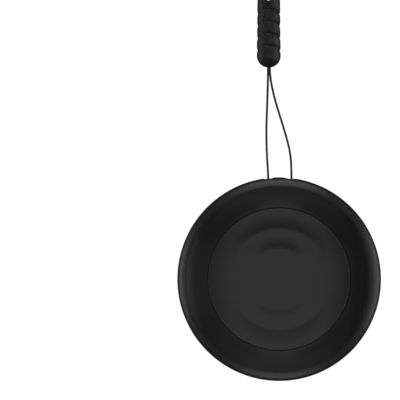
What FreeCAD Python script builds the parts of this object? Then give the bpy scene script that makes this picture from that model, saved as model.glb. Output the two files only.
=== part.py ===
# Clicker trainer: a round two-part case with a large dished press button, a
# snap-action spring-steel leaf inside, and a thin cord with a moulded grip and
# a wrist loop. Millimetres, +Z up. The case lies on its back on z = 0 with its
# axis on the origin, and the strap runs off along +Y.
import FreeCAD, Part
import Sketcher
import math
import os

V = FreeCAD.Vector
doc = FreeCAD.newDocument("clicker_trainer")

# ---------------------------------------------------------------- dimensions
SIZES = [
    ("case_radius", 30.0), ("case_height", 17.4), ("parting_z", 8.0),
    ("wall_thick", 1.8), ("floor_thick", 1.6), ("base_round", 3.0),
    ("tongue_high", 1.0), ("tongue_thick", 0.9), ("tongue_gap", 0.05),
    ("crest_radius", 27.46), ("rim_round", 9.4), ("rim_mid_radius", 29.38), ("rim_mid_drop", 1.45),
    ("rim_low_round", 2.2), ("rim_drop", 2.98), ("bowl_round", 27.0), ("bowl_low_z", 15.4),
    ("bezel_bore", 21.15), ("lip_z", 10.75), ("lip_reach", 22.7),
    ("lip_slope_r", 23.6), ("lip_slope_z", 12.0), ("roof_z", 15.4),
    ("button_radius", 20.85), ("button_edge_z", 15.3), ("button_edge_round", 0.3),
    ("dish_z", 13.7), ("dish_radius", 8.4), ("ripple_one_round", 28.0),
    ("ripple_two_r", 14.2), ("ripple_two_z", 14.3), ("ripple_two_round", 26.5),
    ("flange_radius", 22.2), ("flange_top_z", 10.6), ("flange_low_z", 9.4),
    ("skirt_inner", 19.5), ("button_under_z", 10.0),
    ("plunger_radius", 2.5), ("plunger_low_z", 6.30),
    ("screw_circle", 24.8), ("boss_radius", 2.6), ("pillar_radius", 1.8),
    ("pillar_top_z", 14.3), ("pilot_radius", 0.85), ("pilot_deep", 4.5),
    ("screw_hole", 1.2), ("head_hole", 1.95), ("head_deep", 1.6),
    ("head_radius", 1.75), ("head_high", 1.2), ("shank_radius", 1.0),
    ("shank_top_z", 12.0), ("web_thick", 1.2), ("web_inner", 19.8), ("web_outer", 28.6),
    ("spring_circle", 14.5), ("post_radius", 1.3), ("post_top_z", 6.5),
    ("coil_radius", 2.1), ("coil_wire", 0.24), ("coil_turn", 1.32),
    ("coil_low_z", 1.8), ("coil_high_z", 9.70),
    ("seat_z", 5.7), ("seat_back_x", 19.4), ("seat_front_x", 14.8), ("seat_half", 6.6),
    ("stud_radius", 0.7), ("stud_x", 17.0), ("stud_top_z", 6.5),
    ("leaf_low_z", 5.85), ("leaf_thick", 0.3), ("leaf_half", 3.6),
    ("leaf_back_x", 18.6), ("leaf_front_x", 6.2), ("leaf_hole", 1.05),
    ("dome_x", 7.2), ("dome_radius", 2.9), ("dome_high", 0.55), ("dome_round", 8.0),
    ("bridge_low_z", 6.65), ("bridge_top_z", 7.5), ("channel_half", 3.95),
    ("bridge_screw_y", 5.3), ("small_head_radius", 1.1), ("small_head_high", 0.6),
    ("small_shank_radius", 0.6), ("small_shank_deep", 3.0), ("small_hole", 0.7),
    ("small_pilot", 0.5),
    ("vent_circle", 9.0), ("vent_radius", 0.8),
    ("cord_size", 0.6), ("cord_z", 6.0), ("cord_hole", 0.75),
    ("cord_left_x", -3.12), ("cord_right_x", 3.70), ("cord_boss_x", 0.3),
    ("cord_boss_y", 25.9), ("cord_boss_radius", 2.5),
    ("scallop_radius", 5.5), ("scallop_x", 3.68), ("scallop_y", 35.0),
    ("grip_x", -2.985), ("grip_z", 2.6), ("grip_low_y", 62.3), ("grip_high_y", 93.0),
    ("grip_radius", 3.41), ("grip_low_radius", 3.52), ("grip_high_radius", 3.32),
    ("grip_half_thick", 2.6), ("grip_top_thick", 3.22), ("groove_deep", 0.34), ("groove_wide", 0.62),
    ("groove_tilt", 26.4), ("groove_low_y", 67.5), ("groove_step", 3.6),
    ("slot_x", -3.14), ("slot_wide", 1.36), ("slot_low_y", 82.25), ("slot_high_y", 85.7),
    ("dimple_y", 81.1), ("dimple_radius", 0.6), ("dimple_deep", 0.35),
    ("tip_hole", 0.8), ("knot_room", 1.65), ("knot_low_y", 66.5), ("knot_room_high_y", 70.0),
    ("knot_radius", 1.5), ("knot_long", 3.0),
    ("wrist_size", 2.8), ("wrist_side", 1.5), ("socket_low_y", 88.0),
]
sheet = doc.addObject("Spreadsheet::Sheet", "Sizes")
size = {}
for row, (alias, number) in enumerate(SIZES, start=1):
    sheet.set("A%d" % row, alias)
    sheet.set("B%d" % row, repr(float(number)))
    sheet.setAlias("B%d" % row, alias)
    size[alias] = float(number)
doc.recompute()


def parts_of(text):
    """Splits a sum such as 'case_radius - wall_thick' into signed terms."""
    sign, out = 1.0, []
    for word in str(text).split():
        if word == "+":
            sign = 1.0
        elif word == "-":
            sign = -1.0
        else:
            out.append((sign, word.split("*")))
            sign = 1.0
    return out


def value(text):
    total = 0.0
    for sign, factors in parts_of(text):
        term = sign
        for f in factors:
            term *= size[f] if f in size else float(f)
        total += term
    return total


def bound(text):
    """The same sum as an expression that reads the sheet."""
    out = []
    for sign, factors in parts_of(text):
        out.append(("-" if sign < 0 else "+") +
                   "*".join("Sizes." + f if f in size else "(" + f + ")" for f in factors))
    joined = " ".join(out)
    return "0 " + joined


def plane(body, role):
    for feature in body.Origin.OriginFeatures:
        if feature.Role == role:
            return feature
    raise RuntimeError(role)


def new_body(name):
    body = doc.addObject("PartDesign::Body", name)
    body.Label = name
    return body


def new_sketch(body, name, role="XY_Plane", lift=None, turn=0.0, shift=(0.0, 0.0)):
    sk = body.newObject("Sketcher::SketchObject", name)
    sk.AttachmentSupport = [(plane(body, role), "")]
    sk.MapMode = "FlatFace"
    z = value(lift) if lift is not None else 0.0
    sk.AttachmentOffset = FreeCAD.Placement(V(shift[0], shift[1], z),
                                            FreeCAD.Rotation(V(0, 0, 1), turn))
    if lift is not None:
        sk.setExpression("AttachmentOffset.Base.z", bound(lift))
    return sk


def fix_point(sk, geo, pos, x, y):
    for text, kind, axis in ((x, "DistanceX", -2), (y, "DistanceY", -1)):
        v = value(text)
        if abs(v) < 1e-9:
            sk.addConstraint(Sketcher.Constraint("PointOnObject", geo, pos, axis))
        else:
            i = sk.addConstraint(Sketcher.Constraint(kind, -1, 1, geo, pos, v))
            sk.setExpression("Constraints[%d]" % i, bound(text))


def outline(sk, corners):
    """corners: (x, y) or (x, y, round, side); the last two make the run that
    leaves this corner an arc, its centre on the left (+1) or right (-1)."""
    n = len(corners)
    geos = []
    for i, c in enumerate(corners):
        d = corners[(i + 1) % n]
        p, q = V(value(c[0]), value(c[1]), 0), V(value(d[0]), value(d[1]), 0)
        if len(c) == 2:
            g = sk.addGeometry(Part.LineSegment(p, q), False)
            geos.append((g, 1, 2))
        else:
            r, side = value(c[2]), c[3]
            mid, run = (p + q) * 0.5, (q - p)
            left = V(-run.y, run.x, 0).normalize()
            centre = mid + left * side * math.sqrt(max(r * r - run.Length ** 2 / 4, 0))
            a = math.atan2(p.y - centre.y, p.x - centre.x)
            b = math.atan2(q.y - centre.y, q.x - centre.x)
            circle = Part.Circle(centre, V(0, 0, 1), r)
            if side > 0:
                g = sk.addGeometry(Part.ArcOfCircle(circle, a, b), False)
                geos.append((g, 1, 2))
            else:
                g = sk.addGeometry(Part.ArcOfCircle(circle, b, a), False)
                geos.append((g, 2, 1))
            k = sk.addConstraint(Sketcher.Constraint("Radius", g, r))
            sk.setExpression("Constraints[%d]" % k, bound(c[2]))
    for i in range(n):
        g, s, e = geos[i]
        h, s2, e2 = geos[(i + 1) % n]
        sk.addConstraint(Sketcher.Constraint("Coincident", g, e, h, s2))
    for i, c in enumerate(corners):
        fix_point(sk, geos[i][0], geos[i][1], c[0], c[1])
    return sk


def ring(sk, x, y, radius):
    g = sk.addGeometry(Part.Circle(V(value(x), value(y), 0), V(0, 0, 1), value(radius)), False)
    k = sk.addConstraint(Sketcher.Constraint("Radius", g, value(radius)))
    sk.setExpression("Constraints[%d]" % k, bound(radius))
    fix_point(sk, g, 3, x, y)
    return sk


def revolve(body, sk, name, kind="PartDesign::Revolution", axis="V_Axis"):
    f = body.newObject(kind, name)
    f.Profile = (sk, [""])
    f.ReferenceAxis = (sk, [axis])
    f.Angle = 360.0
    sk.Visibility = False
    doc.recompute()
    return f


def pad(body, sk, name, length, flip=False, kind="PartDesign::Pad"):
    before = body.Shape.Volume if body.Shape and not body.Shape.isNull() else 0.0
    f = body.newObject(kind, name)
    f.Profile = (sk, [""])
    f.Length = value(length)
    f.setExpression("Length", bound(length))
    f.Reversed = flip
    sk.Visibility = False
    doc.recompute()
    after = body.Shape.Volume
    if kind.endswith("Pocket") and not after < before - 1e-6:
        raise RuntimeError(name + " cuts nothing")
    if kind.endswith("Pad") and not after > before + 1e-6:
        raise RuntimeError(name + " adds nothing")
    return f


def pocket(body, sk, name, length, flip=False):
    return pad(body, sk, name, length, flip, "PartDesign::Pocket")


def pattern(body, feature, sk, name, count):
    before = body.Shape.Volume
    f = body.newObject("PartDesign::PolarPattern", name)
    f.Originals = [feature]
    f.Axis = (sk, ["N_Axis"])
    f.Angle = 360.0
    f.Occurrences = count
    body.Tip = f
    doc.recompute()
    if abs(body.Shape.Volume - before) < 1e-6:
        raise RuntimeError(name + " changes nothing")
    return f


def solid_cylinder(name, radius, high, x, y, z, tilt=None):
    c = doc.addObject("Part::Cylinder", name)
    c.Radius = value(radius)
    c.setExpression("Radius", bound(radius))
    c.Height = value(high)
    c.setExpression("Height", bound(high))
    c.Placement = FreeCAD.Placement(V(value(x), value(y), value(z)),
                                    tilt or FreeCAD.Rotation())
    for side, text in (("x", x), ("y", y), ("z", z)):
        c.setExpression("Placement.Base." + side, bound(text))
    return c


# ---------------------------------------------------------------- rear cover
rear = new_body("rear_cover")
sk = new_sketch(rear, "rear_cover_section", "XZ_Plane")
outline(sk, [
    ("0", "0"),
    ("case_radius - base_round", "0", "base_round", 1),
    ("case_radius", "base_round"),
    ("case_radius", "parting_z"),
    ("case_radius - wall_thick + tongue_thick", "parting_z"),
    ("case_radius - wall_thick + tongue_thick", "parting_z + tongue_high"),
    ("case_radius - wall_thick", "parting_z + tongue_high"),
    ("case_radius - wall_thick", "floor_thick + 1.6", "1.6", -1),
    ("case_radius - wall_thick - 1.6", "floor_thick"),
    ("0", "floor_thick"),
])
revolve(rear, sk, "rear_cover_shell")

# three bosses for the case screws, tied to the wall by radial webs whose tops
# are also the button's end stops
sk = new_sketch(rear, "screw_boss_section", lift="floor_thick - 0.4", turn=30.0)
ring(sk, "screw_circle", "0", "boss_radius")
boss = pad(rear, sk, "screw_boss", "parting_z - floor_thick + 0.4")
pattern(rear, boss, sk, "screw_bosses", 3)
sk = new_sketch(rear, "web_section", lift="floor_thick - 0.4", turn=30.0)
outline(sk, [("web_inner", "-0.5*web_thick"), ("web_outer", "-0.5*web_thick"),
             ("web_outer", "0.5*web_thick"), ("web_inner", "0.5*web_thick")])
web = pad(rear, sk, "web", "parting_z - floor_thick + 0.4")
pattern(rear, web, sk, "webs", 3)

# posts inside the three coil springs
for i, angle in enumerate((0.0, 110.0, 250.0), start=1):
    sk = new_sketch(rear, "post_section_%d" % i, lift="floor_thick - 0.4", turn=angle)
    ring(sk, "spring_circle", "0", "post_radius")
    pad(rear, sk, "spring_post_%d" % i, "post_top_z - floor_thick + 0.4")

# raised seat for the root of the leaf, with a locating stud
sk = new_sketch(rear, "seat_section", lift="floor_thick - 0.4")
outline(sk, [("-1*seat_back_x", "-1*seat_half"), ("-1*seat_front_x", "-1*seat_half"),
             ("-1*seat_front_x", "seat_half"), ("-1*seat_back_x", "seat_half")])
pad(rear, sk, "leaf_seat", "seat_z - floor_thick + 0.4")
sk = new_sketch(rear, "stud_section", lift="seat_z - 0.4")
ring(sk, "-1*stud_x", "0", "stud_radius")
pad(rear, sk, "leaf_stud", "stud_top_z - seat_z + 0.4")

# boss that the thin cord passes round
sk = new_sketch(rear, "cord_boss_section", lift="floor_thick - 0.4")
ring(sk, "cord_boss_x", "cord_boss_y", "cord_boss_radius")
pad(rear, sk, "cord_boss", "parting_z - floor_thick + 0.4")

# through holes and head recesses of the case screws
sk = new_sketch(rear, "screw_hole_section", turn=30.0)
ring(sk, "screw_circle", "0", "screw_hole")
hole = pocket(rear, sk, "screw_hole", "parting_z + 1.0", flip=True)
pattern(rear, hole, sk, "screw_holes", 3)
sk = new_sketch(rear, "head_hole_section", turn=30.0)
ring(sk, "screw_circle", "0", "head_hole")
hole = pocket(rear, sk, "head_hole", "head_deep", flip=True)
pattern(rear, hole, sk, "head_holes", 3)

# pilot holes of the retainer's screws
sk = new_sketch(rear, "small_pilot_section", lift="seat_z - small_shank_deep - 0.3")
ring(sk, "-1*stud_x", "bridge_screw_y", "small_pilot")
ring(sk, "-1*stud_x", "-1*bridge_screw_y", "small_pilot")
pocket(rear, sk, "small_pilots", "small_shank_deep + 0.3", flip=True)

# ring of sound vents in the floor
sk = new_sketch(rear, "vent_section")
ring(sk, "vent_circle", "0", "vent_radius")
vent = pocket(rear, sk, "vent", "floor_thick + 0.4", flip=True)
pattern(rear, vent, sk, "vents", 6)

# two holes in the wall for the cord
sk = new_sketch(rear, "cord_hole_section", "XZ_Plane")
ring(sk, "cord_left_x", "cord_z", "cord_hole")
ring(sk, "cord_right_x", "cord_z", "cord_hole")
f = pocket(rear, sk, "cord_holes", "case_radius + 1.0")
if rear.Shape.isInside(V(size["cord_left_x"], 28.9, size["cord_z"]), 1e-4, True):
    f.Reversed = True
    doc.recompute()

# shallow scallops in the outline where the cord comes out
for i, side in enumerate(("", "-1*"), start=1):
    sk = new_sketch(rear, "scallop_section_%d" % i, lift="-1.0")
    ring(sk, side + "scallop_x", "scallop_y", "scallop_radius")
    pocket(rear, sk, "scallop_%d" % i, "case_height + 2.0", flip=True)

# --------------------------------------------------------------- front bezel
bezel = new_body("front_bezel")
sk = new_sketch(bezel, "bezel_section", "XZ_Plane")
outline(sk, [
    ("case_radius", "parting_z"),
    ("case_radius", "case_height - rim_drop", "rim_low_round", 1),
    ("rim_mid_radius", "case_height - rim_mid_drop", "rim_round", 1),
    ("crest_radius", "case_height", "bowl_round", -1),
    ("bezel_bore", "bowl_low_z"),
    ("bezel_bore", "lip_z"),
    ("lip_reach", "lip_z"),
    ("lip_slope_r", "lip_slope_z"),
    ("case_radius - wall_thick", "roof_z"),
    ("case_radius - wall_thick", "parting_z + tongue_high + tongue_gap"),
    ("case_radius - wall_thick + tongue_thick + tongue_gap", "parting_z + tongue_high + tongue_gap"),
    ("case_radius - wall_thick + tongue_thick + tongue_gap", "parting_z"),
])
revolve(bezel, sk, "bezel_shell")
sk = new_sketch(bezel, "pillar_section", lift="parting_z", turn=30.0)
ring(sk, "screw_circle", "0", "pillar_radius")
pillar = pad(bezel, sk, "pillar", "pillar_top_z - parting_z")
pattern(bezel, pillar, sk, "pillars", 3)
sk = new_sketch(bezel, "pilot_section", lift="parting_z", turn=30.0)
ring(sk, "screw_circle", "0", "pilot_radius")
hole = pocket(bezel, sk, "pilot", "pilot_deep", flip=True)
pattern(bezel, hole, sk, "pilots", 3)
for i, side in enumerate(("", "-1*"), start=1):
    sk = new_sketch(bezel, "bezel_scallop_section_%d" % i, lift="parting_z - 1.0")
    ring(sk, side + "scallop_x", "scallop_y", "scallop_radius")
    pocket(bezel, sk, "bezel_scallop_%d" % i, "case_height", flip=True)

# -------------------------------------------------------------- press button
button = new_body("press_button")
sk = new_sketch(button, "button_section", "XZ_Plane")
outline(sk, [
    ("0", "dish_z"),
    ("dish_radius", "dish_z", "ripple_one_round", -1),
    ("ripple_two_r", "ripple_two_z", "ripple_two_round", -1),
    ("button_radius - button_edge_round", "button_edge_z", "button_edge_round", -1),
    ("button_radius", "button_edge_z - button_edge_round"),
    ("button_radius", "flange_top_z"),
    ("flange_radius", "flange_top_z"),
    ("flange_radius", "flange_low_z"),
    ("skirt_inner", "flange_low_z"),
    ("skirt_inner", "button_under_z"),
    ("plunger_radius", "button_under_z"),
    ("plunger_radius", "plunger_low_z"),
    ("0", "plunger_low_z"),
])
revolve(button, sk, "button_turned")

# ---------------------------------------------------------------- click leaf
leaf = new_body("click_leaf")
sk = new_sketch(leaf, "leaf_outline", lift="leaf_low_z")
outline(sk, [("-1*leaf_back_x", "-1*leaf_half"), ("leaf_front_x", "-1*leaf_half"),
             ("leaf_front_x", "leaf_half"), ("-1*leaf_back_x", "leaf_half")])
ring(sk, "-1*stud_x", "0", "leaf_hole")
ring(sk, "-1*dome_x", "0", "dome_radius")
pad(leaf, sk, "leaf_strip", "leaf_thick")
sk = new_sketch(leaf, "dome_section", "XZ_Plane", shift=(-size["dome_x"], 0.0))
sk.setExpression("AttachmentOffset.Base.x", "0 - Sizes.dome_x")
outline(sk, [
    ("0", "leaf_low_z + dome_high"),
    ("0", "leaf_low_z + leaf_thick + dome_high", "dome_round", -1),
    ("dome_radius", "leaf_low_z + leaf_thick"),
    ("dome_radius", "leaf_low_z", "dome_round", 1),
])
revolve(leaf, sk, "leaf_dome")

# -------------------------------------------------------------- leaf retainer
bridge = new_body("leaf_retainer")
sk = new_sketch(bridge, "bridge_outline", lift="seat_z")
outline(sk, [("-1*seat_back_x + 0.3", "-1*seat_half"), ("-1*seat_front_x - 0.2", "-1*seat_half"),
             ("-1*seat_front_x - 0.2", "seat_half"), ("-1*seat_back_x + 0.3", "seat_half")])
pad(bridge, sk, "bridge_block", "bridge_top_z - seat_z")
sk = new_sketch(bridge, "channel_outline", lift="seat_z")
outline(sk, [("-1*seat_back_x - 1.0", "-1*channel_half"), ("-1*seat_front_x + 1.0", "-1*channel_half"),
             ("-1*seat_front_x + 1.0", "channel_half"), ("-1*seat_back_x - 1.0", "channel_half")])
pocket(bridge, sk, "channel", "bridge_low_z - seat_z", flip=True)
sk = new_sketch(bridge, "bridge_hole_section", lift="seat_z")
ring(sk, "-1*stud_x", "bridge_screw_y", "small_hole")
ring(sk, "-1*stud_x", "-1*bridge_screw_y", "small_hole")
pocket(bridge, sk, "bridge_holes", "bridge_top_z - seat_z + 1.0", flip=True)


# ------------------------------------------------------------------- screws
def fuse(name, shapes):
    f = doc.addObject("Part::MultiFuse", name)
    f.Shapes = shapes
    return f


def cross(name, x, y, z, reach, deep, angle):
    b = doc.addObject("Part::Box", name)
    b.Length, b.Width, b.Height = 2 * reach, 0.3 * reach, deep
    turn = FreeCAD.Rotation(V(0, 0, 1), angle)
    b.Placement = FreeCAD.Placement(V(x, y, z) + turn.multVec(V(-reach, -0.15 * reach, 0)), turn)
    return b


def cut(name, base, tool):
    f = doc.addObject("Part::Cut", name)
    f.Base, f.Tool = base, tool
    return f


case_screws = []
for i, angle in enumerate((30.0, 150.0, 270.0), start=1):
    a = math.radians(angle)
    x, y = "%.9f*screw_circle" % math.cos(a), "%.9f*screw_circle" % math.sin(a)
    head = solid_cylinder("case_head_%d" % i, "head_radius", "head_high", x, y,
                          "head_deep - head_high")
    shank = solid_cylinder("case_shank_%d" % i, "shank_radius", "shank_top_z - head_deep",
                           x, y, "head_deep")
    bars = [cross("case_bar_%d_%d" % (i, k), value(x), value(y), size["head_deep"] - size["head_high"] - 0.1,
                  0.62 * size["head_radius"], 0.8, angle + 90.0 * k) for k in (0, 1)]
    case_screws.append(cut("case_screw_%d" % i, fuse("case_screw_blank_%d" % i, [head, shank]),
                           fuse("case_cross_%d" % i, bars)))
case_group = doc.addObject("Part::Compound", "case_screws")
case_group.Label = "case_screws"
case_group.Links = case_screws

leaf_screws = []
for i, side in enumerate((1.0, -1.0), start=1):
    x, y = "-1*stud_x", "%.1f*bridge_screw_y" % side
    head = solid_cylinder("leaf_head_%d" % i, "small_head_radius", "small_head_high", x, y,
                          "bridge_top_z")
    shank = solid_cylinder("leaf_shank_%d" % i, "small_shank_radius",
                           "small_shank_deep + bridge_top_z - seat_z", x, y,
                           "seat_z - small_shank_deep")
    bars = [cross("leaf_bar_%d_%d" % (i, k), value(x), value(y),
                  size["bridge_top_z"] + size["small_head_high"] - 0.4,
                  0.62 * size["small_head_radius"], 0.6, 20.0 + 90.0 * k) for k in (0, 1)]
    leaf_screws.append(cut("leaf_screw_%d" % i, fuse("leaf_screw_blank_%d" % i, [head, shank]),
                           fuse("leaf_cross_%d" % i, bars)))
leaf_group = doc.addObject("Part::Compound", "leaf_screws")
leaf_group.Label = "leaf_screws"
leaf_group.Links = leaf_screws

# -------------------------------------------------------------- coil springs
coils = []
for i, angle in enumerate((0.0, 110.0, 250.0), start=1):
    a = math.radians(angle)
    x, y = size["spring_circle"] * math.cos(a), size["spring_circle"] * math.sin(a)
    helix = doc.addObject("Part::Helix", "coil_path_%d" % i)
    helix.setExpression("Radius", "Sizes.coil_radius")
    helix.setExpression("Pitch", "Sizes.coil_turn")
    helix.setExpression("Height", "Sizes.coil_high_z - Sizes.coil_low_z")
    wire_ring = doc.addObject("Part::Circle", "coil_wire_%d" % i)
    wire_ring.setExpression("Radius", "Sizes.coil_wire")
    wire_ring.Placement = FreeCAD.Placement(V(size["coil_radius"], 0, 0),
                                            FreeCAD.Rotation(V(1, 0, 0), 90))
    coil = doc.addObject("Part::Sweep", "coil_%d" % i)
    coil.Sections = [wire_ring]
    coil.Spine = (helix, [])
    coil.Solid = True
    coil.Frenet = True
    coil.Placement = FreeCAD.Placement(V(x, y, size["coil_low_z"]), FreeCAD.Rotation())
    coils.append(coil)
coil_group = doc.addObject("Part::Compound", "return_springs")
coil_group.Label = "return_springs"
coil_group.Links = coils


# --------------------------------------------------------------------- cords
def route_wire(points):
    """Straight runs joined by tangent arcs, 0.45 of the shorter run at each
    corner. Returns the wire and its radii."""
    pts = [V(*p) for p in points]
    edges, radii, start = [], [], pts[0]
    for i in range(1, len(pts) - 1):
        back, ahead = pts[i - 1] - pts[i], pts[i + 1] - pts[i]
        reach = 0.45 * min(back.Length, ahead.Length)
        back.normalize()
        ahead.normalize()
        half = (math.pi - back.getAngle(ahead)) / 2
        radii.append(reach / math.tan(half))
        p, q = pts[i] + back * reach, pts[i] + ahead * reach
        middle = (back + ahead).normalize()
        centre = pts[i] + middle * (reach / math.tan(half) / math.cos(half))
        edges.append(Part.LineSegment(start, p).toShape())
        edges.append(Part.Arc(p, centre - middle * radii[-1], q).toShape())
        start = q
    edges.append(Part.LineSegment(start, pts[-1]).toShape())
    return Part.Wire(edges), radii


def cord(name, points, thick):
    wire, radii = route_wire(points)
    first = V(*points[1]) - V(*points[0])
    section = Part.Wire([Part.Circle(V(*points[0]), first, thick / 2).toShape()])
    solid = wire.makePipeShell([section], True, True)
    expected = math.pi * thick ** 2 / 4 * wire.Length
    print("%s length %.2f volume %.3f expected %.3f" % (name, wire.Length, solid.Volume, expected))
    print("%s radii %s" % (name, " ".join("%.1f" % r for r in radii)))
    if abs(solid.Volume / expected - 1) > 0.01:
        raise RuntimeError(name + " volume")
    feature = doc.addObject("Part::Feature", name)
    feature.Label = name
    feature.Shape = solid
    feature.Placement = FreeCAD.Placement()
    return feature


# out of the knot, down to the left hole, round the boss, up to the knot again
CORD_ROUTE = [
    (-3.14, 66.5, 2.32), (-3.16, 60.5, 2.32), (-3.46, 51.5, 2.75), (-3.76, 43.5, 3.70),
    (-3.54, 36.0, 5.00), (-3.14, 30.5, 5.92), (-3.10, 22.8, 6.00), (3.70, 22.8, 6.00),
    (3.72, 31.0, 5.94), (3.48, 36.8, 5.10), (2.06, 42.5, 4.10), (-0.10, 49.4, 3.30),
    (-1.62, 54.6, 2.95), (-2.80, 60.8, 2.86), (-2.84, 66.5, 2.88),
]
# out of the left socket, round the loop lying on the table, into the right one
LOOP_ROUTE = [
    (-4.485, 88.0, 2.60), (-4.485, 97.5, 2.55), (-11.5, 115.0, 1.60), (-24.5, 133.5, 1.45),
    (-32.6, 154.0, 1.45), (-26.5, 172.5, 1.45), (-8.5, 183.0, 1.45), (12.5, 181.0, 1.45),
    (26.0, 166.0, 1.45), (26.4, 144.5, 1.45), (14.6, 124.5, 1.45), (2.2, 109.0, 1.75),
    (-1.485, 97.0, 2.55), (-1.485, 88.0, 2.60),
]
cord("cord_loop", CORD_ROUTE, size["cord_size"])
cord("wrist_loop", LOOP_ROUTE, size["wrist_size"])

knot_core = doc.addObject("Part::Cylinder", "knot_blank")
knot_core.setExpression("Radius", "Sizes.knot_radius")
knot_core.setExpression("Height", "Sizes.knot_long")
knot_core.Placement = FreeCAD.Placement(V(size["grip_x"], size["knot_low_y"], size["grip_z"]),
                                        FreeCAD.Rotation(V(1, 0, 0), -90))
doc.recompute()
knot = doc.addObject("Part::Fillet", "cord_knot")
knot.Label = "cord_knot"
knot.Base = knot_core
knot.Edges = [(i + 1, 0.4, 0.4) for i, e in enumerate(knot_core.Shape.Edges)
              if isinstance(e.Curve, Part.Circle)]

# ---------------------------------------------------------------- strap grip
# turned blank about the grip's own axis (+Y), flattened below and a little above
grip = new_body("grip_blank")
sk = new_sketch(grip, "grip_section", "XY_Plane")
outline(sk, [
    ("0", "0"),
    ("0.9", "0.12", "3.3", 1),
    ("grip_low_radius - 0.1", "2.7", "4.0", 1),
    ("grip_low_radius", "3.8"),
    ("grip_low_radius", "8.6"),
    ("grip_radius", "12.4"),
    ("grip_radius", "15.8"),
    ("grip_high_radius", "19.4"),
    ("grip_high_radius", "grip_high_y - grip_low_y - 0.8", "0.8", 1),
    ("grip_high_radius - 0.8", "grip_high_y - grip_low_y"),
    ("0", "grip_high_y - grip_low_y"),
])
revolve(grip, sk, "grip_turned")
sk = new_sketch(grip, "grip_flats", "YZ_Plane")
for side in (1, -1):
    a, b = ("grip_top_thick", "grip_top_thick + 2.0") if side > 0 else \
        ("-1*grip_half_thick - 2.0", "-1*grip_half_thick")
    outline(sk, [("-1.0", a), ("grip_high_y - grip_low_y + 1.0", a),
                 ("grip_high_y - grip_low_y + 1.0", b), ("-1.0", b)])
f = grip.newObject("PartDesign::Pocket", "grip_flatted")
f.Profile = (sk, [""])
f.Midplane = True
f.Length = 20.0
sk.Visibility = False
doc.recompute()
# slot right through, and the small dimple below it
sk = new_sketch(grip, "slot_section", lift="-1*grip_radius - 1.0")
sx = "slot_x - grip_x"
outline(sk, [
    ("slot_x - grip_x - 0.5*slot_wide", "slot_low_y - grip_low_y"),
    ("slot_x - grip_x + 0.5*slot_wide", "slot_low_y - grip_low_y"),
    ("slot_x - grip_x + 0.5*slot_wide", "slot_high_y - grip_low_y"),
    ("slot_x - grip_x - 0.5*slot_wide", "slot_high_y - grip_low_y"),
])
pocket(grip, sk, "slot", "2*grip_radius + 2.0", flip=True)
sk = new_sketch(grip, "dimple_section", lift="grip_top_thick")
ring(sk, "slot_x - grip_x", "dimple_y - grip_low_y", "dimple_radius")
pocket(grip, sk, "dimple", "dimple_deep")
# sockets of the wrist cord, drilled in from the top end
sk = new_sketch(grip, "socket_section", "XZ_Plane")
ring(sk, "wrist_side", "0", "0.5*wrist_size")
ring(sk, "-1*wrist_side", "0", "0.5*wrist_size")
sk.AttachmentOffset = FreeCAD.Placement(V(0, 0, -(size["grip_high_y"] - size["grip_low_y"])),
                                        FreeCAD.Rotation())
doc.recompute()
before = grip.Shape.Volume
f = grip.newObject("PartDesign::Pocket", "sockets")
f.Profile = (sk, [""])
f.setExpression("Length", bound("grip_high_y - socket_low_y"))
doc.recompute()
if not grip.Shape.Volume < before - 1:
    f.Reversed = True
    doc.recompute()
# room for the knot, and the hole in the tip
sk = new_sketch(grip, "knot_room_section", "XY_Plane")
outline(sk, [
    ("0", "-0.5"), ("tip_hole", "-0.5"), ("tip_hole", "knot_low_y - grip_low_y"),
    ("knot_room", "knot_low_y - grip_low_y"), ("knot_room", "knot_room_high_y - grip_low_y"),
    ("0", "knot_room_high_y - grip_low_y"),
])
revolve(grip, sk, "knot_room", "PartDesign::Groove")
grip.Placement = FreeCAD.Placement(V(size["grip_x"], size["grip_low_y"], size["grip_z"]),
                                   FreeCAD.Rotation())
for side, alias in (("x", "grip_x"), ("y", "grip_low_y"), ("z", "grip_z")):
    grip.setExpression("Placement.Base." + side, "Sizes." + alias)

# arched grooves: tilted slabs that only cut the outer skin
core_round = solid_cylinder("groove_core_round", "grip_radius - groove_deep + 0.05", "40.0",
                            "grip_x", "grip_low_y - 4.0", "grip_z",
                            FreeCAD.Rotation(V(1, 0, 0), -90))
core_flat = doc.addObject("Part::Box", "groove_core_flat")
core_flat.Length, core_flat.Width = 12.0, 40.0
core_flat.setExpression("Height", bound("grip_half_thick + grip_top_thick - 2*groove_deep"))
core_flat.Placement = FreeCAD.Placement(V(size["grip_x"] - 6, size["grip_low_y"] - 4,
                                          size["grip_z"] - size["grip_half_thick"] + size["groove_deep"]),
                                        FreeCAD.Rotation())
core = doc.addObject("Part::MultiCommon", "groove_core")
core.Shapes = [core_round, core_flat]
slabs = []
for i in range(4):
    slab = doc.addObject("Part::Box", "groove_slab_%d" % (i + 1))
    slab.Length, slab.Height = 12.0, 12.0
    slab.setExpression("Width", "Sizes.groove_wide")
    turn = FreeCAD.Rotation(V(1, 0, 0), -size["groove_tilt"])
    slab.Placement = FreeCAD.Placement(
        V(size["grip_x"] - 6, size["groove_low_y"] + i * size["groove_step"], size["grip_z"])
        + turn.multVec(V(0, -size["groove_wide"] / 2, -6)), turn)
    slabs.append(slab)
tools = cut("groove_tools", fuse("groove_slabs", slabs), core)
strap_grip = cut("strap_grip", grip, tools)
strap_grip.Label = "strap_grip"
doc.recompute()

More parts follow.
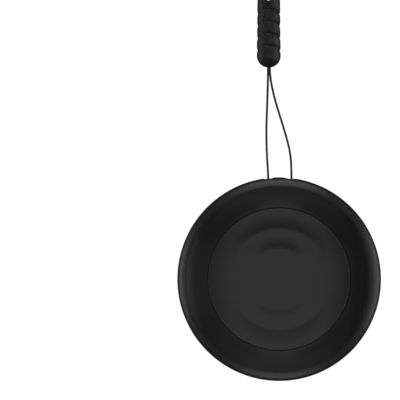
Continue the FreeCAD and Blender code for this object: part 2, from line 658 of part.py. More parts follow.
# ------------------------------------------------------------------- writing
for obj in doc.Objects:
    bad = [s for s in obj.State if s in ("Invalid", "Error")]
    if bad:
        raise RuntimeError("%s is %s" % (obj.Name, bad))
NODES = ["rear_cover", "front_bezel", "press_button", "click_leaf", "leaf_retainer",
         "leaf_screws", "return_springs", "case_screws", "cord_loop", "cord_knot",
         "strap_grip", "wrist_loop"]
os.makedirs("parts", exist_ok=True)
for name in NODES:
    obj = [o for o in doc.Objects if o.Label == name][0]
    shape = obj.Shape
    if shape.isNull() or not shape.isValid():
        raise RuntimeError(name + " has no valid shape")
    shape.exportStep("parts/%s.step" % name)
    box = shape.BoundBox
    print("%-15s solids %d volume %9.2f  x %.2f..%.2f y %.2f..%.2f z %.2f..%.2f" % (
        name, len(shape.Solids), shape.Volume, box.XMin, box.XMax, box.YMin, box.YMax,
        box.ZMin, box.ZMax))
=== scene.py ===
# Looks of the clicker trainer: materials, finer meshes for what the eye meets,
# the two cords, a pale floor, soft studio light and the camera.
import bpy
import bmesh
import math
from mathutils import Matrix, Vector
from mathutils import noise as noise_3d


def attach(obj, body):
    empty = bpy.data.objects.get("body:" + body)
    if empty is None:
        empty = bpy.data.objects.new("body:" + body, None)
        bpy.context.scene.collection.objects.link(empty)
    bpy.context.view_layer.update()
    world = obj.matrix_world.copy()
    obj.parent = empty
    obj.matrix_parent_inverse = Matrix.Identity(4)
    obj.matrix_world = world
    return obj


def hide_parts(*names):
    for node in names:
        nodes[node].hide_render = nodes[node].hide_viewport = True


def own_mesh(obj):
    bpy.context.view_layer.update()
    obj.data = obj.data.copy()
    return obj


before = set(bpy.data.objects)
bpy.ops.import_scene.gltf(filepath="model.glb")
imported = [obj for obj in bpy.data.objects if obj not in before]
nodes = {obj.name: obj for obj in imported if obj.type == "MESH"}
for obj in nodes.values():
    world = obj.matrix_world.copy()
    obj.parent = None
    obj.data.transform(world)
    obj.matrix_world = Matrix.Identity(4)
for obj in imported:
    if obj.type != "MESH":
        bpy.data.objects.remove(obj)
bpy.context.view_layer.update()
scene = bpy.context.scene
MM = 0.001


# ------------------------------------------------------------------ materials
def new_material(name):
    m = bpy.data.materials.new(name)
    m.use_nodes = True
    nt = m.node_tree
    nt.nodes.clear()
    out = nt.nodes.new("ShaderNodeOutputMaterial")
    bsdf = nt.nodes.new("ShaderNodeBsdfPrincipled")
    nt.links.new(bsdf.outputs[0], out.inputs[0])
    return m, nt, bsdf


def noise(nt, scale, detail=2.0, rough=0.5, coords=None):
    if coords is None:
        coords = nt.nodes.new("ShaderNodeTexCoord").outputs["Object"]
    n = nt.nodes.new("ShaderNodeTexNoise")
    n.inputs["Scale"].default_value = scale
    n.inputs["Detail"].default_value = detail
    n.inputs["Roughness"].default_value = rough
    nt.links.new(coords, n.inputs["Vector"])
    return n


def ramp(nt, source, low, high, a, b):
    r = nt.nodes.new("ShaderNodeMapRange")
    r.inputs["From Min"].default_value = low
    r.inputs["From Max"].default_value = high
    r.inputs["To Min"].default_value = a
    r.inputs["To Max"].default_value = b
    nt.links.new(source, r.inputs["Value"])
    return r.outputs[0]


def two_tone(nt, source, low, high, dark, light):
    r = nt.nodes.new("ShaderNodeValToRGB")
    r.color_ramp.elements[0].position = low
    r.color_ramp.elements[1].position = high
    r.color_ramp.elements[0].color = (*dark, 1)
    r.color_ramp.elements[1].color = (*light, 1)
    nt.links.new(source, r.inputs["Fac"])
    return r.outputs[0]


def bump(nt, source, strength, distance, under=None):
    b = nt.nodes.new("ShaderNodeBump")
    b.inputs["Strength"].default_value = strength
    b.inputs["Distance"].default_value = distance
    nt.links.new(source, b.inputs["Height"])
    if under is not None:
        nt.links.new(under, b.inputs["Normal"])
    return b.outputs[0]


def soft_touch(name, dark, light, rough_low, rough_high, level=0.5):
    """Moulded black plastic with a fine spark-eroded grain and faint mottling."""
    m, nt, bsdf = new_material(name)
    broad = noise(nt, 90.0, 3.0)
    grain = noise(nt, 5200.0, 2.0, 0.6)
    nt.links.new(two_tone(nt, broad.outputs["Fac"], 0.35, 0.7, dark, light),
                 bsdf.inputs["Base Color"])
    nt.links.new(ramp(nt, grain.outputs["Fac"], 0.3, 0.7, rough_low, rough_high),
                 bsdf.inputs["Roughness"])
    nt.links.new(bump(nt, grain.outputs["Fac"], 0.18, 0.00003), bsdf.inputs["Normal"])
    bsdf.inputs["Specular IOR Level"].default_value = level
    return m


def rubber(name, dark, light, rough_low, rough_high):
    """Soft moulded rubber: pebbled grain, finer pores, handled patches."""
    m, nt, bsdf = new_material(name)
    broad = noise(nt, 420.0, 4.0, 0.6)
    pebble = noise(nt, 1700.0, 3.0, 0.6)
    pores = noise(nt, 9000.0, 2.0, 0.7)
    nt.links.new(two_tone(nt, broad.outputs["Fac"], 0.3, 0.7, dark, light),
                 bsdf.inputs["Base Color"])
    nt.links.new(ramp(nt, broad.outputs["Fac"], 0.3, 0.7, rough_low, rough_high),
                 bsdf.inputs["Roughness"])
    first = bump(nt, pebble.outputs["Fac"], 1.0, 0.00022)
    nt.links.new(bump(nt, pores.outputs["Fac"], 0.45, 0.00004, first), bsdf.inputs["Normal"])
    return m


def steel(name, tone, rough, stretch=(1.0, 1.0, 1.0), tint=(1.0, 0.99, 0.97)):
    """Brushed or drawn steel: fine lines along one axis, slight tarnish."""
    m, nt, bsdf = new_material(name)
    coord = nt.nodes.new("ShaderNodeTexCoord")
    mapping = nt.nodes.new("ShaderNodeMapping")
    mapping.inputs["Scale"].default_value = stretch
    nt.links.new(coord.outputs["Object"], mapping.inputs["Vector"])
    lines = noise(nt, 2400.0, 3.0, 0.6, mapping.outputs[0])
    stain = noise(nt, 160.0, 3.0)
    low = tuple(tone * 0.82 * c for c in tint)
    high = tuple(tone * c for c in tint)
    nt.links.new(two_tone(nt, stain.outputs["Fac"], 0.3, 0.7, low, high),
                 bsdf.inputs["Base Color"])
    nt.links.new(ramp(nt, lines.outputs["Fac"], 0.3, 0.7, rough * 0.8, rough * 1.3),
                 bsdf.inputs["Roughness"])
    nt.links.new(bump(nt, lines.outputs["Fac"], 0.2, 0.00002), bsdf.inputs["Normal"])
    bsdf.inputs["Metallic"].default_value = 1.0
    return m


def fibre(name, dark, light, scale):
    """Nylon yarn: fine noise in object space varies its tone and roughness and bumps its surface; a little sheen."""
    m, nt, bsdf = new_material(name)
    fine = noise(nt, scale, 3.0, 0.6)
    nt.links.new(two_tone(nt, fine.outputs["Fac"], 0.3, 0.7, dark, light),
                 bsdf.inputs["Base Color"])
    nt.links.new(ramp(nt, fine.outputs["Fac"], 0.3, 0.7, 0.55, 0.8), bsdf.inputs["Roughness"])
    nt.links.new(bump(nt, fine.outputs["Fac"], 0.4, 0.00004), bsdf.inputs["Normal"])
    bsdf.inputs["Sheen Weight"].default_value = 0.15
    bsdf.inputs["Sheen Roughness"].default_value = 0.5
    return m


case_black = soft_touch("case_black", (0.0030, 0.0030, 0.0031), (0.0040, 0.0040, 0.0041), 0.34, 0.42)
button_black = soft_touch("button_black", (0.0030, 0.0030, 0.0031), (0.0040, 0.0040, 0.0041), 0.36, 0.44)
grip_black = rubber("grip_black", (0.0032, 0.0032, 0.0034), (0.0070, 0.0070, 0.0067), 0.32, 0.46)
cord_black = fibre("cord_black", (0.008, 0.008, 0.008), (0.018, 0.018, 0.018), 9000.0)
braid_black = fibre("braid_black", (0.014, 0.014, 0.015), (0.028, 0.028, 0.029), 6000.0)
leaf_steel = steel("leaf_steel", 0.62, 0.26, (0.06, 1.0, 1.0))
screw_steel = steel("screw_steel", 0.50, 0.32)
coil_steel = steel("coil_steel", 0.55, 0.28)
nylon = soft_touch("natural_nylon", (0.62, 0.60, 0.55), (0.70, 0.68, 0.62), 0.45, 0.6)

for names, material in (
        (("rear_cover", "front_bezel"), case_black), (("press_button",), button_black),
        (("click_leaf",), leaf_steel), (("leaf_screws", "case_screws"), screw_steel),
        (("return_springs",), coil_steel), (("leaf_retainer",), nylon),
        (("strap_grip",), grip_black), (("cord_knot",), cord_black)):
    for name in names:
        mesh = nodes[name].data
        mesh.materials.clear()
        mesh.materials.append(material)

# ---------------------------------------------------------------------- cords
# out of the knot, down to the left hole, round the boss, up to the knot again
CORD_ROUTE = [
    (-3.14, 66.5, 2.32), (-3.16, 60.5, 2.32), (-3.46, 51.5, 2.75), (-3.76, 43.5, 3.70),
    (-3.54, 36.0, 5.00), (-3.14, 30.5, 5.92), (-3.10, 22.8, 6.00), (3.70, 22.8, 6.00),
    (3.72, 31.0, 5.94), (3.48, 36.8, 5.10), (2.06, 42.5, 4.10), (-0.10, 49.4, 3.30),
    (-1.62, 54.6, 2.95), (-2.80, 60.8, 2.86), (-2.84, 66.5, 2.88),
]
# out of the left socket, round the loop lying on the table, into the right one
LOOP_ROUTE = [
    (-4.485, 88.0, 2.60), (-4.485, 97.5, 2.55), (-11.5, 115.0, 1.60), (-24.5, 133.5, 1.45),
    (-32.6, 154.0, 1.45), (-26.5, 172.5, 1.45), (-8.5, 183.0, 1.45), (12.5, 181.0, 1.45),
    (26.0, 166.0, 1.45), (26.4, 144.5, 1.45), (14.6, 124.5, 1.45), (2.2, 109.0, 1.75),
    (-1.485, 97.0, 2.55), (-1.485, 88.0, 2.60),
]


def route_curve(name, points):
    data = bpy.data.curves.new(name, "CURVE")
    data.dimensions = "3D"
    data.resolution_u = 24
    spline = data.splines.new("NURBS")
    spline.points.add(len(points) - 1)
    for p, co in zip(spline.points, points):
        p.co = (co[0] * MM, co[1] * MM, co[2] * MM, 1.0)
    spline.order_u = 3
    spline.use_endpoint_u = True
    obj = bpy.data.objects.new(name, data)
    scene.collection.objects.link(obj)
    return obj


def route_line(name, points):
    """The points along the route's spline, evenly respaced by the caller."""
    obj = route_curve(name, points)
    depsgraph = bpy.context.evaluated_depsgraph_get()
    mesh = bpy.data.meshes.new_from_object(obj.evaluated_get(depsgraph))
    line = [v.co.copy() for v in mesh.vertices]
    bpy.data.meshes.remove(mesh)
    data = obj.data
    bpy.data.objects.remove(obj)
    bpy.data.curves.remove(data)
    return line


def respace(line, step):
    """The same line with points every step."""
    lengths = [0.0]
    for a, b in zip(line, line[1:]):
        lengths.append(lengths[-1] + (b - a).length)
    count = max(2, round(lengths[-1] / step))
    out, k = [], 0
    for i in range(count + 1):
        want = lengths[-1] * i / count
        while k < len(line) - 2 and lengths[k + 1] < want:
            k += 1
        run = lengths[k + 1] - lengths[k]
        out.append(line[k].lerp(line[k + 1], (want - lengths[k]) / run if run > 0 else 0.0))
    return out, lengths[-1]


def frames(line):
    """A twist-free side and up direction at each point."""
    out, side = [], None
    for i, p in enumerate(line):
        a, b = line[max(i - 1, 0)], line[min(i + 1, len(line) - 1)]
        t = (b - a).normalized()
        if side is None:
            side = t.cross(Vector((0, 0, 1)))
            if side.length < 1e-6:
                side = Vector((1, 0, 0))
        side = (side - t * side.dot(t)).normalized()
        out.append((t, side, t.cross(side).normalized()))
    return out


def tube_mesh(name, line, around, radius_at, material, rides):
    """Skins a line; radius_at(distance, angle) gives the radius in metres."""
    bm = bmesh.new()
    rings, walked = [], 0.0
    fr = frames(line)
    for i, p in enumerate(line):
        if i:
            walked += (p - line[i - 1]).length
        t, s, u = fr[i]
        ring = []
        for k in range(around):
            a = 2 * math.pi * k / around
            r = radius_at(walked, a)
            ring.append(bm.verts.new(p + (s * math.cos(a) + u * math.sin(a)) * r))
        rings.append(ring)
    for a, b in zip(rings, rings[1:]):
        for k in range(around):
            bm.faces.new((a[k], a[(k + 1) % around], b[(k + 1) % around], b[k]))
    bm.faces.new(list(reversed(rings[0])))
    bm.faces.new(rings[-1])
    bmesh.ops.recalc_face_normals(bm, faces=bm.faces)
    mesh = bpy.data.meshes.new(name)
    bm.to_mesh(mesh)
    bm.free()
    for poly in mesh.polygons:
        poly.use_smooth = True
    mesh.materials.append(material)
    obj = bpy.data.objects.new(name, mesh)
    scene.collection.objects.link(obj)
    if rides:
        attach(obj, rides)
    return obj


line, length = respace(route_line("thin_route", CORD_ROUTE), 0.00012)


def laid_cord(walked, angle):
    # three strands laid round each other, one turn every 2.2 mm
    turn = angle * 3 - 2 * math.pi * 3 * walked / 0.0022 * 0.333
    return 0.00033 * (0.93 + 0.07 * abs(math.cos(turn / 2)))


thin = tube_mesh("thin_cord", line, 18, laid_cord, cord_black, "case")
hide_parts("cord_loop")

line, length = respace(route_line("loop_route", LOOP_ROUTE), 0.00016)


def braid(walked, angle):
    # sixteen-carrier tubular braid: two families of yarns crossing over and under
    lean = 2 * math.pi * walked / 0.0094
    one, two = (angle + lean) * 8, (angle - lean) * 8
    a, b = abs(math.sin(one / 2)), abs(math.sin(two / 2))
    over = math.cos(one / 2) * math.cos(two / 2) > 0
    return 0.0014 * (0.955 + 0.045 * (a if over else b))


wrist = tube_mesh("wrist_cord", line, 64, braid, braid_black, "case")
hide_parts("wrist_loop")

# ---------------------------------------------------------- lathed front faces
def lathe(name, rows, turns, point, material, rides, closed=True):
    """rows: how many points the section has; point(row, angle) gives (radius,
    height) in millimetres. closed joins the last row to the first; a radius of
    zero at either end becomes one point."""
    bm = bmesh.new()
    rings = []
    for i in range(rows):
        r0, z0 = point(i, 0.0)
        if r0 < 1e-9:
            rings.append([bm.verts.new((0, 0, z0 * MM))])
            continue
        ring = []
        for k in range(turns):
            a = 2 * math.pi * k / turns
            r, z = point(i, a)
            ring.append(bm.verts.new((r * math.cos(a) * MM, r * math.sin(a) * MM, z * MM)))
        rings.append(ring)
    pairs = list(zip(rings, rings[1:]))
    if closed:
        pairs.append((rings[-1], rings[0]))
    for a, b in pairs:
        for k in range(turns):
            j = (k + 1) % turns
            if len(a) == 1 and len(b) == 1:
                continue
            if len(a) == 1:
                bm.faces.new((a[0], b[j], b[k]))
            elif len(b) == 1:
                bm.faces.new((a[k], a[j], b[0]))
            else:
                bm.faces.new((a[k], a[j], b[j], b[k]))
    bmesh.ops.recalc_face_normals(bm, faces=bm.faces)
    mesh = bpy.data.meshes.new(name)
    bm.to_mesh(mesh)
    bm.free()
    for poly in mesh.polygons:
        poly.use_smooth = True
    mesh.set_sharp_from_angle(angle=math.radians(32))
    mesh.materials.append(material)
    obj = bpy.data.objects.new(name, mesh)
    scene.collection.objects.link(obj)
    if rides:
        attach(obj, rides)
    return obj


def combine(obj, mesh, operation):
    """Cuts mesh out of obj, or joins it on, and leaves obj with the result."""
    other = bpy.data.objects.new("other", mesh)
    scene.collection.objects.link(other)
    step = obj.modifiers.new("step", "BOOLEAN")
    step.operation = operation
    step.solver = "EXACT"
    step.object = other
    depsgraph = bpy.context.evaluated_depsgraph_get()
    done = bpy.data.meshes.new_from_object(obj.evaluated_get(depsgraph))
    obj.modifiers.clear()
    name = obj.data.name
    old, obj.data = obj.data, done
    bpy.data.meshes.remove(old)
    bpy.data.objects.remove(other)
    bpy.data.meshes.remove(mesh)
    done.name = name
    return done


def tidy(mesh):
    """Takes out slivers and scraps of a few faces that a cut leaves."""
    bm = bmesh.new()
    bm.from_mesh(mesh)
    bmesh.ops.triangulate(bm, faces=bm.faces)
    bmesh.ops.remove_doubles(bm, verts=bm.verts, dist=2e-6)
    bmesh.ops.dissolve_degenerate(bm, edges=bm.edges, dist=1e-6)
    bmesh.ops.triangulate(bm, faces=bm.faces)
    bm.faces.ensure_lookup_table()
    bm.faces.index_update()
    left = set(range(len(bm.faces)))
    scraps = []
    while left:
        group, todo = [], [left.pop()]
        while todo:
            f = bm.faces[todo.pop()]
            group.append(f)
            for e in f.edges:
                if len(e.link_faces) != 2:
                    continue
                for g in e.link_faces:
                    if g.index in left:
                        left.remove(g.index)
                        todo.append(g.index)
        if len(group) < 12:
            scraps += group
    bmesh.ops.delete(bm, geom=scraps, context="FACES")
    wires = [e for e in bm.edges if not e.link_faces]
    bmesh.ops.delete(bm, geom=wires, context="EDGES")
    loose = [v for v in bm.verts if not v.link_faces]
    bmesh.ops.delete(bm, geom=loose, context="VERTS")
    bmesh.ops.recalc_face_normals(bm, faces=bm.faces)
    print("tidy", mesh.name, "scraps", len(scraps), "open", sum(len(e.link_faces) != 2 for e in bm.edges),
          "faces", len(bm.faces))
    bm.to_mesh(mesh)
    bm.free()


def smooth(t):
    t = max(0.0, min(1.0, t))
    return t * t * (3 - 2 * t)


def piecewise(table, x):
    for (x0, y0), (x1, y1) in zip(table, table[1:]):
        if x <= x1:
            return y0 + (y1 - y0) * (x - x0) / (x1 - x0)
    return table[-1][1]


# The front is one dished surface cut by the button's gap. Slopes in degrees
# against radius in millimetres, rising outwards, falling where negative: two
# ripples lie towards the strap, two fainter ones opposite, none at the sides,
# and the rim's crest is sharp at the ripples and rounded at the sides.
PX = 0.29528
NORTH = [(0, 0), (26, 0), (30, 8), (32, 15), (34, 16), (36, 15), (40, 11), (44, 5), (47, 1), (48.5, 1.5),
         (51, 15), (53, 17), (55, 16.5), (60, 13.5), (65, 9), (69, 5.5), (71, 8), (73, 12.5), (75, 13.3),
         (80, 15), (85, 16.5), (90, 17.5), (92.85, 18)]
SOUTH = [(0, 0), (27, 0), (30, 4), (32, 10), (34, 11.5), (36, 9), (40, 5), (44, 1), (47, 0), (49, 1), (51, 12),
         (53, 14), (55, 13.5), (60, 11.5), (65, 6), (69, 4), (71, 7), (73, 12.5), (75, 13.3), (80, 15),
         (85, 16), (90, 16.5), (92.85, 17)]
SIDES = [(0, 0), (24, 0), (30, 3), (36, 4), (44, 4.5), (47, 5), (53, 6.2), (60, 8.4), (65, 10), (69, 11.4),
         (71, 12.5), (73, 14), (75, 16), (80, 18), (85, 20), (88, 25), (90, 30), (92.85, 35)]
RIM = [(93.15, -31), (98, -39), (99.5, -46)]
RIM_END = 46.0
NORTH, SOUTH, SIDES = NORTH + RIM, SOUTH + RIM, SIDES + RIM
DISH_Z, CREST_Z = 13.7, 17.4
GRID = [0.12 * i for i in range(1, 229)]
GRID = [0.0] + [r for r in GRID if r < 92 * PX]
while GRID[-1] < 99.5 * PX - 0.05:
    GRID.append(GRID[-1] + (0.045 if GRID[-1] < 94 * PX else 0.12))
GRID[-1] = 99.5 * PX


def share(angle, low, high):
    return smooth((abs(math.sin(angle)) - low) / (high - low))


# how far round from the strap's line the ripples reach, against radius
LOW = [(0, 0.62), (45, 0.62), (49, 0.40), (56, 0.42), (62, 0.60), (71, 0.60), (73, 0.45), (100, 0.45)]
HIGH = [(0, 0.98), (45, 0.98), (49, 1.0), (100, 1.0)]


# steeper bowl between the strap's line and the sides
BETWEEN_N = [(0, 0), (49, 0), (53, 0.8), (67, 1.2), (71, 3), (73, 5), (77, 5), (80, 3.5), (85, 0.5), (88, -3),
             (91, -5), (92.85, -6), (93.15, 0)]
BETWEEN_S = [(0, 0), (69, 0), (71, 1.5), (73, 3.5), (77, 3.2), (80, 2), (85, 0), (88, -2), (91, -3.5),
             (92.85, -4), (93.15, 0)]


def column(angle):
    """Heights of the dished front along one radius; a slight even slope is
    added so that the crest is level all round."""
    ends = NORTH if math.sin(angle) > 0 else SOUTH
    lean = abs(math.sin(angle))
    between = smooth((lean - 0.40) / 0.25) * smooth((1 - lean) / 0.06)
    rises = []
    for a, b in zip(GRID, GRID[1:]):
        r = (a + b) / 2 / PX
        w = share(angle, piecewise(LOW, r), piecewise(HIGH, r))
        side = piecewise(SIDES, r)
        slope = side + (piecewise(ends, r) - side) * w
        extra = piecewise(BETWEEN_N if math.sin(angle) > 0 else BETWEEN_S, r) * between
        slope += extra if extra > 0 else extra * smooth((0.92 - lean) / 0.15)
        rises.append((b - a) * math.tan(math.radians(slope)))
    crest = sum(d for b, d in zip(GRID[1:], rises) if b <= 93 * PX)
    run = [min(max(b / PX - 24, 0), 93 - 24) for b in GRID]
    out = [DISH_Z]
    for k, d in enumerate(rises):
        out.append(out[-1] + d + (CREST_Z - DISH_Z - crest) * (run[k + 1] - run[k]) / (93 - 24))
    return out


columns = {}


def front(i, angle):
    key = round(math.degrees(angle) * 2)
    if key not in columns:
        columns[key] = column(angle)
    return columns[key][i]


BUTTON_R, BORE_R = 20.91, 21.09
cut_in = max(k for k, r in enumerate(GRID) if r < BUTTON_R - 0.08)
cut_out = min(k for k, r in enumerate(GRID) if r > BORE_R + 0.08)


def button_point(i, angle):
    if i <= cut_in:
        return GRID[i], front(i, angle)
    edge = front(cut_in, angle) + 0.01
    return ([(BUTTON_R - 0.03, edge - 0.02), (BUTTON_R, edge - 0.08), (BUTTON_R, edge - 0.4)] + UNDER)[i - cut_in - 1]


UNDER = [(20.85, 10.6), (22.2, 10.6), (22.2, 9.4), (19.5, 9.4), (19.5, 10.0), (2.5, 10.0), (2.5, 6.55),
         (2.25, 6.3), (0.0, 6.3)]
button = lathe("button_cap", cut_in + 4 + len(UNDER), 360, button_point, button_black, "button",
               closed=False)
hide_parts("press_button")

# return springs: closed ends, open turns between, riding with the case under the button
bm = bmesh.new()
for angle in (0.0, 110.0, 250.0):
    x, y = 14.5 * math.cos(math.radians(angle)), 14.5 * math.sin(math.radians(angle))
    path, z = [], 1.80
    for k in range(211):
        turn = k / 28
        path.append(Vector(((x + 2.1 * math.cos(2 * math.pi * turn)) * MM,
                            (y + 2.1 * math.sin(2 * math.pi * turn)) * MM, z * MM)))
        z += (0.50 if turn < 1.25 or turn > 6.25 else 1.33) / 28
    part = tube_mesh("coil_part", path, 12, lambda walked, a: 0.00024, coil_steel, None)
    bm.from_mesh(part.data)
    old = part.data
    bpy.data.objects.remove(part)
    bpy.data.meshes.remove(old)
mesh = bpy.data.meshes.new("coil_springs")
bm.to_mesh(mesh)
bm.free()
mesh.materials.append(coil_steel)
coils = bpy.data.objects.new("coil_springs", mesh)
scene.collection.objects.link(coils)
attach(coils, "case")
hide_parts("return_springs")
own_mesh(coils)

OUTER = [(30.0, 10.0), (30.0, 8.14), (29.86, 8.0), (29.15, 8.0), (29.15, 9.05), (28.2, 9.05), (28.2, 14.6),
         (23.6, 12.0), (22.7, 10.75)]
LAST = (30.0 - GRID[-1]) / (1 - math.sin(math.radians(RIM_END)))


def bezel_point(i, angle):
    if i == 0:
        return BORE_R, 10.75
    edge = front(cut_out, angle)
    i -= 1
    if i < 3:
        return [(BORE_R, edge - 0.3), (BORE_R, edge - 0.1), (BORE_R + 0.04, edge - 0.03)][i]
    i -= 3
    if i < len(GRID) - cut_out:
        r, z = GRID[cut_out + i], front(cut_out + i, angle)
    elif i < len(GRID) - cut_out + 8:
        t = math.radians(RIM_END + (90 - RIM_END) * (i - (len(GRID) - cut_out) + 1) / 8)
        r = 30.0 - LAST * (1 - math.sin(t))
        z = front(len(GRID) - 1, angle) - LAST * (math.cos(math.radians(RIM_END)) - math.cos(t))
    else:
        r, z = OUTER[i - (len(GRID) - cut_out + 8)]
    if r > 28.5:
        for cx in (3.68, -3.68):
            along = cx * math.cos(angle) + 35.0 * math.sin(angle)
            root = along * along - (cx * cx + 35.0 * 35.0) + 5.5 * 5.5
            if root > 0 and along > 0:
                r = min(r, along - math.sqrt(root))
    return r, z


bezel = lathe("bezel_ring", 4 + len(GRID) - cut_out + 8 + len(OUTER), 720, bezel_point, case_black, None)

# three pillars under its roof, bored for the case screws
bm = bmesh.new()
for angle in (30.0, 150.0, 270.0):
    x, y = 24.8 * math.cos(math.radians(angle)), 24.8 * math.sin(math.radians(angle))
    spokes = [math.radians(angle) + 2 * math.pi * (k + 0.37) / 46 for k in range(46)]
    rings = [[bm.verts.new(((x + radius * math.cos(a)) * MM, (y + radius * math.sin(a)) * MM, z * MM))
              for a in spokes] for radius, z in ((0.85, 12.5), (0.85, 8.0), (1.8, 8.0), (1.8, 14.2))]
    for a, b in zip(rings, rings[1:]):
        for k in range(46):
            j = (k + 1) % 46
            bm.faces.new((a[k], a[j], b[j], b[k]))
    bm.faces.new(list(reversed(rings[0])))
    bm.faces.new(rings[-1])
bmesh.ops.recalc_face_normals(bm, faces=bm.faces)
mesh = bpy.data.meshes.new("pillars")
bm.to_mesh(mesh)
bm.free()
mesh = combine(bezel, mesh, "UNION")
tidy(mesh)
for poly in mesh.polygons:
    poly.use_smooth = True
mesh.set_sharp_from_angle(angle=math.radians(32))
mesh.materials.clear()
mesh.materials.append(case_black)
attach(bezel, "case")
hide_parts("front_bezel")

# ----------------------------------------------------------------- strap grip
# A moulded rubber grip lying on the table: slightly flattened round section,
# domed lower end, four sloping grooves whose ribs bulge a little, a keyhole
# dimple with a nub, a slot through it and two sockets for the wrist cord.
GRIP_X, GRIP_Z, GRIP_LOW, GRIP_HIGH = -2.985, 2.60, 62.42, 93.0
HALF_WIDE = [(62.4, 3.52), (67.0, 3.53), (69.5, 3.50), (72.5, 3.43), (79.0, 3.40), (81.0, 3.36), (93.0, 3.30)]
GROOVES = [67.46, 71.16, 74.72, 78.28]
DROP = 1.60
SLOT_X, SLOT_HALF, SLOT_LOW, SLOT_HIGH = -3.14, 0.68, 82.25, 85.70
DIMPLE_Y = 81.10


def groove_depth(y, lift, across):
    # each wrap line fades out towards its left end and comes back at the edge
    side = abs(across) ** 3
    sharp = 0.12 + 0.88 * smooth((across + 0.62) / 0.50) + 0.5 * smooth((-across - 0.86) / 0.12)
    depth = 0.0
    for g in GROOVES:
        t = y - (g + DROP * lift)
        depth += sharp * (0.28 * math.exp(-(t / 0.20) ** 2) + 0.12 * math.exp(-(t / 0.62) ** 2))
        depth += (0.03 + 0.10 * side) * math.exp(-(t / 0.62) ** 2)
    return depth


def end_scale(y):
    low, high = y - GRIP_LOW, GRIP_HIGH - y
    out = 1.0
    if low < 3.5:
        out *= math.sqrt(max(0.0, 1 - ((3.5 - low) / 3.5) ** 2))
    if high < 0.8:
        out *= 0.8 + 0.2 * math.sqrt(max(0.0, 1 - ((0.8 - high) / 0.8) ** 2))
    return out


# the leaf, as packed, without the slivers where its dome meets the strip
source = nodes["click_leaf"]
mesh = source.data.copy()
mesh.name = "leaf_blade"
tidy(mesh)
for poly in mesh.polygons:
    poly.use_smooth = True
mesh.set_sharp_from_angle(angle=math.radians(30))
blade = bpy.data.objects.new("leaf_blade", mesh)
blade.matrix_world = source.matrix_world.copy()
scene.collection.objects.link(blade)
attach(blade, "leaf")
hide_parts("click_leaf")


def grip_mesh():
    around = 168
    ys, y = [], GRIP_LOW
    while y < GRIP_HIGH - 1e-6:
        low, high = y - GRIP_LOW, GRIP_HIGH - y
        ys.append(y)
        y += 0.012 if low < 0.05 else 0.04 if low < 0.5 or high < 0.3 else 0.11
    ys.append(GRIP_HIGH)
    bm = bmesh.new()
    rings = []
    for y in ys[1:]:
        wide = piecewise(HALF_WIDE, y)
        crown = 3.24 * wide / 3.4
        k = end_scale(y)
        ring = []
        for j in range(around):
            a = 2 * math.pi * j / around
            c, s = math.cos(a), math.sin(a)
            # round above, flattened below
            power, thick = (2.0, crown) if s > 0 else (2.25, 2.60)
            q = (abs(c) ** power + abs(s) ** power) ** (-1 / power)
            x, z = wide * q * c, thick * q * s
            size_here = math.hypot(x, z)
            d = groove_depth(y, s * q, c * q) * smooth((y - GRIP_LOW - 1.5) / 1.5)
            px = GRIP_X + x * k
            if s > 0:
                off = math.hypot(px - SLOT_X, y - DIMPLE_Y)
                d += 0.36 * math.exp(-((off - 0.42) / 0.15) ** 2)
            # soft lip round the slot
            edge = max(abs(px - SLOT_X) - SLOT_HALF, max(SLOT_LOW - y, y - SLOT_HIGH))
            if abs(s) > 0.3:
                d += 0.10 * math.exp(-(max(edge, 0.0) / 0.16) ** 2)
            # leathery grain
            spot = Vector((x, y, z)) * 1.25
            d += (0.045 * noise_3d.noise(spot) + 0.030 * noise_3d.noise(spot * 2.3)
                  + 0.022 * noise_3d.noise(spot * 4.4)) * \
                smooth((y - GRIP_LOW - 0.4) / 1.2) * smooth((GRIP_HIGH - y) / 0.8)
            f = k * (1 - d / size_here)
            ring.append(bm.verts.new(((GRIP_X + x * f) * MM, y * MM, (GRIP_Z + z * f) * MM)))
        rings.append(ring)
    tip = bm.verts.new((GRIP_X * MM, GRIP_LOW * MM, GRIP_Z * MM))
    top = bm.verts.new((GRIP_X * MM, GRIP_HIGH * MM, GRIP_Z * MM))
    for a, b in zip(rings, rings[1:]):
        for j in range(around):
            i = (j + 1) % around
            bm.faces.new((a[j], a[i], b[i], b[j]))
    for j in range(around):
        i = (j + 1) % around
        bm.faces.new((tip, rings[0][i], rings[0][j]))
        bm.faces.new((top, rings[-1][j], rings[-1][i]))
    bmesh.ops.recalc_face_normals(bm, faces=bm.faces)
    mesh = bpy.data.meshes.new("grip_sleeve")
    bm.to_mesh(mesh)
    bm.free()
    return mesh


def bore(bm, centre, steps, count=40):
    """A closed turned shape along y, from (radius, y) steps."""
    rings = [[bm.verts.new(((centre[0] + radius * math.cos(2 * math.pi * k / count)) * MM, y * MM,
                            (centre[1] + radius * math.sin(2 * math.pi * k / count)) * MM))
              for k in range(count)] for radius, y in steps]
    for a, b in zip(rings, rings[1:]):
        for k in range(count):
            i = (k + 1) % count
            bm.faces.new((a[k], a[i], b[i], b[k]))
    bm.faces.new(list(reversed(rings[0])))
    bm.faces.new(rings[-1])


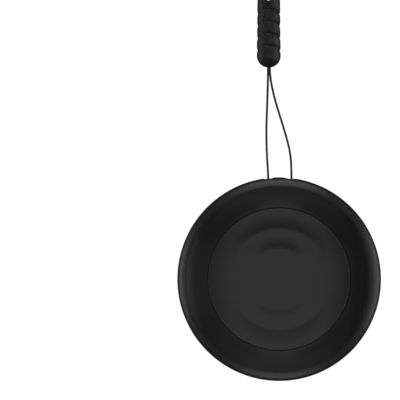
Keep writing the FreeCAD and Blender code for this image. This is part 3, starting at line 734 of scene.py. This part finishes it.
def grip_cutter():
    bm = bmesh.new()
    # slot with round ends
    r, pts = SLOT_HALF, []
    for k in range(13):
        a = math.pi * k / 12
        pts.append((SLOT_X + r * math.cos(a), SLOT_HIGH - r + r * math.sin(a)))
    for k in range(13):
        a = math.pi + math.pi * k / 12
        pts.append((SLOT_X + r * math.cos(a), SLOT_LOW + r + r * math.sin(a)))
    ends = [[bm.verts.new((x * MM, y * MM, z * MM)) for x, y in pts] for z in (-1.0, 7.5)]
    n = len(pts)
    for k in range(n):
        i = (k + 1) % n
        bm.faces.new((ends[0][k], ends[0][i], ends[1][i], ends[1][k]))
    bm.faces.new(list(reversed(ends[0])))
    bm.faces.new(ends[1])
    bore(bm, (GRIP_X, GRIP_Z), [(0.74, 61.5), (0.74, 66.42), (1.62, 66.45), (1.62, 69.95)])
    bore(bm, (-4.485, 2.60), [(1.42, 87.9), (1.42, 94.0)])
    bore(bm, (-1.485, 2.60), [(1.42, 87.9), (1.42, 94.0)])
    bmesh.ops.recalc_face_normals(bm, faces=bm.faces)
    mesh = bpy.data.meshes.new("cutter")
    bm.to_mesh(mesh)
    bm.free()
    return mesh


sleeve = bpy.data.objects.new("grip_sleeve", grip_mesh())
scene.collection.objects.link(sleeve)
done = combine(sleeve, grip_cutter(), "DIFFERENCE")
tidy(done)
for poly in done.polygons:
    poly.use_smooth = True
done.set_sharp_from_angle(angle=math.radians(50))
done.materials.clear()
done.materials.append(grip_black)
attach(sleeve, "case")
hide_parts("strap_grip")

# ------------------------------------------------------- floor, light, camera
GLOW_SEEN, GLOW_AROUND = 0.91, 0.05


def plane(name, size, location, material):
    bm = bmesh.new()
    bmesh.ops.create_grid(bm, x_segments=1, y_segments=1, size=size / 2)
    mesh = bpy.data.meshes.new(name)
    bm.to_mesh(mesh)
    bm.free()
    mesh.materials.append(material)
    obj = bpy.data.objects.new(name, mesh)
    obj.location = location
    scene.collection.objects.link(obj)
    return obj


m, nt, bsdf = new_material("pale_floor")
bsdf.inputs["Roughness"].default_value = 0.9
bsdf.inputs["Specular IOR Level"].default_value = 0.0
bsdf.inputs["Emission Color"].default_value = (1.0, 1.0, 0.992, 1)
seen = nt.nodes.new("ShaderNodeLightPath")
nt.links.new(ramp(nt, seen.outputs["Is Camera Ray"], 0.0, 1.0, GLOW_AROUND, GLOW_SEEN),
             bsdf.inputs["Emission Strength"])
nt.links.new(ramp(nt, seen.outputs["Is Camera Ray"], 0.0, 1.0, 0.15, 0.50), bsdf.inputs["Base Color"])
plane("floor", 6.0, (0, 0.05, -0.0001), m)


def panel(name, centre, target, width, height, radiance, up=(0.0, 0.0, 1.0)):
    light = bpy.data.lights.new(name, "AREA")
    light.shape = "RECTANGLE"
    light.size, light.size_y = width, height
    light.energy = radiance * math.pi * width * height
    obj = bpy.data.objects.new(name, light)
    obj.location = centre
    back = (Vector(centre) - Vector(target)).normalized()
    across = Vector(up).cross(back).normalized()
    turn = Matrix((across, back.cross(across), back)).transposed()
    obj.rotation_euler = turn.to_euler()
    obj.visible_camera = False
    scene.collection.objects.link(obj)
    return obj


HUB = (0.0, 0.0, 0.0)
panel("over", (0.01, 0.03, 0.90), HUB, 0.37, 0.92, 1.405, up=(0.0, 1.0, 0.0))
panel("east", (0.85, 0.0, 0.09), HUB, 0.90, 0.20, 4.0)
panel("west", (-0.85, 0.0, 0.11), HUB, 0.75, 0.20, 3.7)
panel("north", (0.0, 0.85, 0.22), HUB, 0.80, 0.22, 3.4)
panel("south", (0.0, -0.85, 0.22), HUB, 0.70, 0.22, 2.7)
panel("fill_east", (0.70, 0.0, 0.58), HUB, 0.46, 0.36, 0.80)
for name, x, y in (("ne", 0.60, 0.60), ("nw", -0.60, 0.60), ("sw", -0.60, -0.60), ("se", 0.60, -0.60)):
    panel(name, (x, y, 0.20), HUB, 0.40, 0.22, 0.60)
panel("fill_west", (-0.62, 0.0, 0.72), HUB, 0.40, 0.40, 0.05)

world = bpy.data.worlds.new("studio")
world.use_nodes = True
backdrop = world.node_tree.nodes["Background"]
backdrop.inputs["Color"].default_value = (0.75, 0.75, 0.75, 1)
seen = world.node_tree.nodes.new("ShaderNodeLightPath")
world.node_tree.links.new(ramp(world.node_tree, seen.outputs["Is Camera Ray"], 0.0, 1.0, 0.06, 1.33),
                          backdrop.inputs["Strength"])
scene.world = world
scene.view_settings.view_transform = "Standard"
scene.view_settings.look = "None"
scene.view_settings.exposure = 0.0
scene.view_settings.gamma = 1.0

LENS = 900.0
SPAN = 0.11780          # metres across the picture at the height of the case's edge
EDGE_HEIGHT = 0.0140
camera_data = bpy.data.cameras.new("camera")
camera_data.lens = LENS
camera_data.sensor_width = 36.0
camera_data.clip_start = 0.1
camera_data.clip_end = 20.0
camera = bpy.data.objects.new("camera", camera_data)
camera.location = (-0.023313, 0.023304, EDGE_HEIGHT + SPAN * LENS / 36.0)
camera.rotation_euler = (0.0, 0.0, 0.0)
scene.collection.objects.link(camera)
scene.camera = camera
